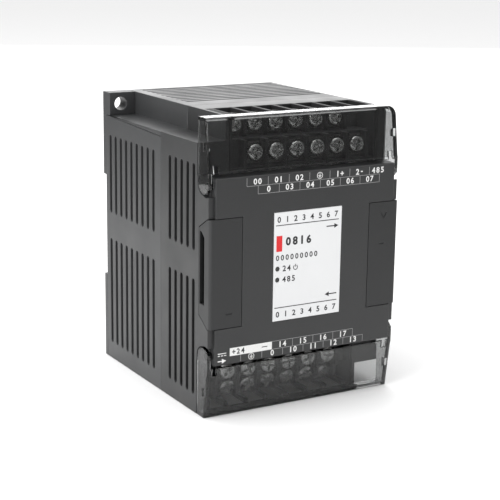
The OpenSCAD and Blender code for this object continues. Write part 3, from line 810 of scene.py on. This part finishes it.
class MODULE_OT_label(Operator):
    """Make the label card, its printing and the light guides"""
    bl_idname = "rail_module.label"
    bl_label = "Label card"

    def execute(self, context):
        p = context.scene.rail_module_print
        film = printed_film("label_film", p.card)
        ink = printing_ink("card_ink", p.dark_ink)
        eased_piece("label_card", film, 0.00006)
        guide = moulded_plastic("light_guide_resin", (0.02, 0.021, 0.02), 0.18, 0.0004, wear_and_sheen=0)
        eased_piece("light_guides", guide, 0.00005)
        low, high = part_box("label_card")
        x0, x1 = ((v.x - CAD_BOX[0].x) / MM for v in (low, high))
        z0, z1 = (v.z / MM for v in (low, high))
        face = (low.y - CAD_BOX[0].y) / MM
        printer = Printer(face, p.film, p.line, p.digit)
        for rule, row in ((z1 - 4.1, z1 - 2.3), (z0 + 4.3, z0 + 2.1)):
            printer.across(x0 + 0.6, x1 - 1.1, rule, 0.26)
            for k in range(8):
                printer.text(str(k), x0 + 1.75 + k * 3.0, row)
        self.marks(printer, x0, x1, z0, z1)
        finish_piece(printer.shape, "card_printing", ink, "housing")
        bar = Printer(face, p.film, p.line, p.digit)
        bar.area(x0 + 0.9, x0 + 3.0, z1 - 12.4, z1 - 7.4)
        red = printing_ink("bar_ink", p.bar)
        finish_piece(bar.shape, "card_bar", red, "housing")
        return {"FINISHED"}

    def marks(self, printer, x0, x1, z0, z1):
        """A large and a small number, input and output arrows, and the marks beside the lamps."""
        printer.row("0816", x0 + 5.2, z1 - 9.4, 2.7, 2.5, 0.06)
        printer.row("000000000", x0 + 1.4, z1 - 14.4, 1.75, 1.75)
        for x, z, way in ((x1 - 1.2, z1 - 6.1, 1), (x1 - 1.2, z0 + 6.5, -1)):
            printer.arrow(x - 4.4, x, z, way)
        power, link = z0 + 16.8, z0 + 13.3
        printer.row("24", x0 + 3.9, power, 1.85, 1.7)
        printer.ring(x0 + 8.0, power - 0.1, 0.72, 0.24, math.radians(125), math.radians(290))
        printer.area(x0 + 7.88, x0 + 8.12, power + 0.1, power + 0.95)
        printer.row("485", x0 + 3.9, link, 1.85, 1.7)


class MODULE_OT_panel_print(Operator):
    """Print the terminal numbers and their boxes on the front panel"""
    bl_idname = "rail_module.panel_print"
    bl_label = "Panel printing"

    def execute(self, context):
        p = context.scene.rail_module_print
        printer, grid = Printer(0, p.film, p.line, p.digit), Printer(0, p.film, p.line, p.digit)
        dark = Printer(-p.film / MM, p.film, p.line, p.digit)
        self.upper(printer, grid)
        self.lower(printer, grid, dark)
        finish_piece(printer.shape, "panel_printing", printing_ink("panel_ink", p.ink), "housing")
        finish_piece(grid.shape, "panel_grid", printing_ink("grid_ink", p.grid), "housing")
        finish_piece(dark.shape, "polarity_signs", printing_ink("dark_panel_ink", p.dark_ink),
                     "housing")
        return {"FINISHED"}

    def cells(self, printer, grid, edges, z0, z1, numbers):
        """A row of boxes with one number in each."""
        for x in edges:
            grid.upright(x, z0, z1)
        for text, x0, x1 in zip(numbers, edges, edges[1:]):
            printer.row(text, (x0 + x1) / 2 - 0.8 * (len(text) - 1), (z0 + z1) / 2, 1.85, 1.6)

    def upper(self, printer, grid):
        """Two rows of boxes under the upper terminals, and a number at their end."""
        pitch, outer, inner = 7.45, 12.5, 16.45
        top, mid, low = 75.5, 72.9, 70.3
        self.cells(printer, grid, [outer + k * pitch for k in range(7)], mid, top,
                   ["00", "01", "02", "", "1+", "2-"])
        self.cells(printer, grid, [inner + k * pitch for k in range(7)], low, mid,
                   ["0", "03", "04", "05", "06", "07"])
        grid.across(outer, inner + 6 * pitch, mid)
        grid.across(inner, inner + 6 * pitch, low)
        self.earth(printer, outer + 3.5 * pitch, (mid + top) / 2)
        printer.row("485", outer + 6 * pitch + 1.6, (mid + top) / 2, 1.85, 1.7)

    def lower(self, printer, grid, dark):
        """A white supply field with its polarity signs, and two rows of boxes."""
        pitch, outer, inner = 7.6, 22.3, 11.07
        top, mid, low = 22.75, 20.2, 18.0
        printer.area(7.2, outer, mid, top)
        dark.row("+24", 8.6, (mid + top) / 2, 1.75, 1.6)
        dark.area(18.6, 20.6, (mid + top) / 2 - 0.14, (mid + top) / 2 + 0.14)
        self.cells(printer, grid, [outer + k * pitch for k in range(5)], mid, top,
                   ["14", "15", "16", "17"])
        self.cells(printer, grid, [inner + k * pitch for k in range(7)], low, mid,
                   ["", "0", "10", "11", "12", "13"])
        grid.across(outer, outer + 4 * pitch, top)
        grid.across(outer, inner + 6 * pitch, mid)
        self.earth(printer, inner + pitch / 2, (low + mid) / 2)
        for x in (3.0, 4.1, 5.2):
            printer.area(x, x + 0.75, 20.6, 20.85)
        printer.area(3.0, 5.95, 21.3, 21.55)
        printer.arrow(3.0, 5.95, 19.0, 1)

    def earth(self, printer, x, z):
        """The protective earth sign in its ring."""
        printer.ring(x, z, 0.98, 0.17)
        printer.area(x - 0.09, x + 0.09, z + 0.05, z + 0.7)
        for k, half in enumerate((0.6, 0.4, 0.2)):
            printer.area(x - half, x + half, z - 0.1 - k * 0.27, z + 0.06 - k * 0.27)


class MODULE_OT_boards(Operator):
    """Finish the circuit boards and the parts on them"""
    bl_idname = "rail_module.boards"
    bl_label = "Boards"

    def execute(self, context):
        m = context.scene.rail_module_metal
        laminate = board_laminate("solder_resist")
        for node in ("main_board", "io_board", "power_board"):
            eased_piece(node, laminate, 0.00008)
        epoxy = moulded_plastic("chip_epoxy", (0.012, 0.012, 0.013), 0.55, 0.00012, wear_and_sheen=0.1)
        for node in ("processor", "serial_driver", "input_couplers", "voltage_regulator"):
            eased_piece(node, epoxy, 0.0001)
        relay = moulded_plastic("relay_case", (0.02, 0.045, 0.16), 0.3, 0.0003, wear_and_sheen=0.3)
        eased_piece("output_relays", relay, 0.0004, steps=3)
        sleeve = moulded_plastic("capacitor_sleeve_film", (0.012, 0.03, 0.09), 0.28, 0.0006,
                                 wear_and_sheen=0.1)
        eased_piece("filter_capacitors", sleeve, 0.0004, steps=3)
        ferrite = moulded_plastic("sintered_ferrite", (0.045, 0.045, 0.05), 0.7, 0.0002, wear_and_sheen=0.5)
        eased_piece("transformer_core", ferrite, 0.0003)
        copper = wound_wire("enamelled_copper", (0.55, 0.22, 0.08))
        eased_piece("transformer_winding", copper, 0.0012, steps=4)
        ceramic = moulded_plastic("fuse_ceramic", (0.72, 0.70, 0.62), 0.3, 0.0005)
        eased_piece("input_fuse", ceramic, 0.0002)
        lamp = moulded_plastic("lamp_resin", (0.70, 0.66, 0.48), 0.25, 0.0004, wear_and_sheen=0)
        eased_piece("indicator_lamps", lamp, 0.0001)
        can = plated_metal("crystal_can", m.plating, 0.22)
        eased_piece("clock_crystal", can, 0.0003, steps=3)
        return {"FINISHED"}


class MODULE_OT_bus_ports(Operator):
    """Finish the bus headers, their pins and the links between the boards"""
    bl_idname = "rail_module.bus_ports"
    bl_label = "Bus ports"

    def execute(self, context):
        m = context.scene.rail_module_metal
        shroud = moulded_plastic("header_nylon", (0.010, 0.010, 0.011), 0.42, 0.0003, wear_and_sheen=0.2)
        gold = plated_metal("pin_gilt", shade(m.brass, 1.1), 0.2)
        for side in ("left", "right"):
            eased_piece(side + "_bus_header", shroud, 0.00015)
            eased_piece(side + "_bus_pins", gold, 0.00012)
        for node in ("signal_link", "power_link"):
            eased_piece(node, shroud, 0.0001)
        return {"FINISHED"}


class MODULE_OT_fasteners(Operator):
    """Finish the spacers and the screws inside the housing"""
    bl_idname = "rail_module.fasteners"
    bl_label = "Fasteners"

    def execute(self, context):
        m = context.scene.rail_module_metal
        brass = plated_metal("spacer_brass", m.brass, 0.28)
        steel = plated_metal("housing_screw_plating", m.plating, 0.3)
        for node in ("long_spacers", "short_spacers"):
            eased_piece(node, brass, 0.00015)
        for node in ("board_screws", "housing_screws"):
            eased_piece(node, steel, 0.0001)
        return {"FINISHED"}


class MODULE_OT_rail_latch(Operator):
    """Make the sliding rail latch and its coil spring"""
    bl_idname = "rail_module.rail_latch"
    bl_label = "Rail latch"

    def execute(self, context):
        s = context.scene.rail_module_shell
        m = context.scene.rail_module_metal
        latch = moulded_plastic("latch_plastic", s.latch_colour, 0.4, s.grain)
        eased_piece("din_latch", latch, s.edge)
        self.spring(m)
        return {"FINISHED"}

    def spring(self, m):
        """A helix with closed end turns."""
        low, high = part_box("latch_spring")
        centre = (low + high) / 2
        wire, across = m.wire / 2, (high.x - low.x) / 2 - m.wire / 2
        steps, sides = 24, 10
        total, up = m.turns * steps, Vector((0, 0, 1))
        shape = bmesh.new()
        rings = []
        for k in range(total + 1):
            share = k / total
            turn = share * m.turns
            closed = min(1.0, max(0.0, (turn - 0.75) / (m.turns - 1.5)))
            rise = low.z + wire + (high.z - low.z - 2 * wire) * (closed * 0.9 + share * 0.1)
            a = 2 * math.pi * turn
            out = Vector((math.cos(a), math.sin(a), 0))
            middle_line = Vector((centre.x, centre.y, rise)) + out * across
            rings.append([
                shape.verts.new(middle_line + wire * (out * math.cos(b) + up * math.sin(b)))
                for b in (2 * math.pi * j / sides for j in range(sides))
            ])
        for first, second in zip(rings, rings[1:]):
            for j in range(sides):
                n = (j + 1) % sides
                shape.faces.new([first[j], second[j], second[n], first[n]])
        shape.faces.new(rings[0])
        shape.faces.new(rings[-1][::-1])
        bmesh.ops.recalc_face_normals(shape, faces=shape.faces)
        coil = finish_piece(shape, "latch_coil_spring", plated_metal("spring_wire", m.steel, 0.3),
                            "housing", ("latch_spring",), sharp=60)
        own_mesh(coil)


STEPS = (
    MODULE_OT_stage, MODULE_OT_housing, MODULE_OT_port_covers, MODULE_OT_clear_covers,
    MODULE_OT_terminal_blocks, MODULE_OT_terminal_screws, MODULE_OT_label, MODULE_OT_panel_print,
    MODULE_OT_boards, MODULE_OT_bus_ports, MODULE_OT_fasteners, MODULE_OT_rail_latch,
)
SETTINGS = (
    ("rail_module_shell", ShellSettings), ("rail_module_clear", ClearSettings),
    ("rail_module_print", PrintSettings), ("rail_module_metal", MetalSettings),
    ("rail_module_stage", StageSettings),
)


class MODULE_PT_panel(Panel):
    """Lists the settings and the steps that make the module's looks."""
    bl_idname = "MODULE_PT_panel"
    bl_label = "Rail Module"
    bl_space_type = "VIEW_3D"
    bl_region_type = "UI"
    bl_category = "Rail Module"

    def draw(self, context):
        for name, group in SETTINGS:
            box = self.layout.box()
            box.label(text=group.__doc__)
            for key in group.__annotations__:
                box.prop(getattr(context.scene, name), key)
        for step in STEPS:
            self.layout.operator(step.bl_idname)


def register():
    """Adds the settings, the operators and the panel."""
    for name, group in SETTINGS:
        bpy.utils.register_class(group)
        setattr(bpy.types.Scene, name, PointerProperty(type=group))
    for step in STEPS:
        bpy.utils.register_class(step)
    bpy.utils.register_class(MODULE_PT_panel)


def unregister():
    """Removes what register added."""
    bpy.utils.unregister_class(MODULE_PT_panel)
    for step in reversed(STEPS):
        bpy.utils.unregister_class(step)
    for name, group in reversed(SETTINGS):
        delattr(bpy.types.Scene, name)
        bpy.utils.unregister_class(group)


def main():
    """Makes every piece in order."""
    register()
    for step in STEPS:
        group, action = step.bl_idname.split(".")
        getattr(getattr(bpy.ops, group), action)()


if __name__ == "__main__":
    main()
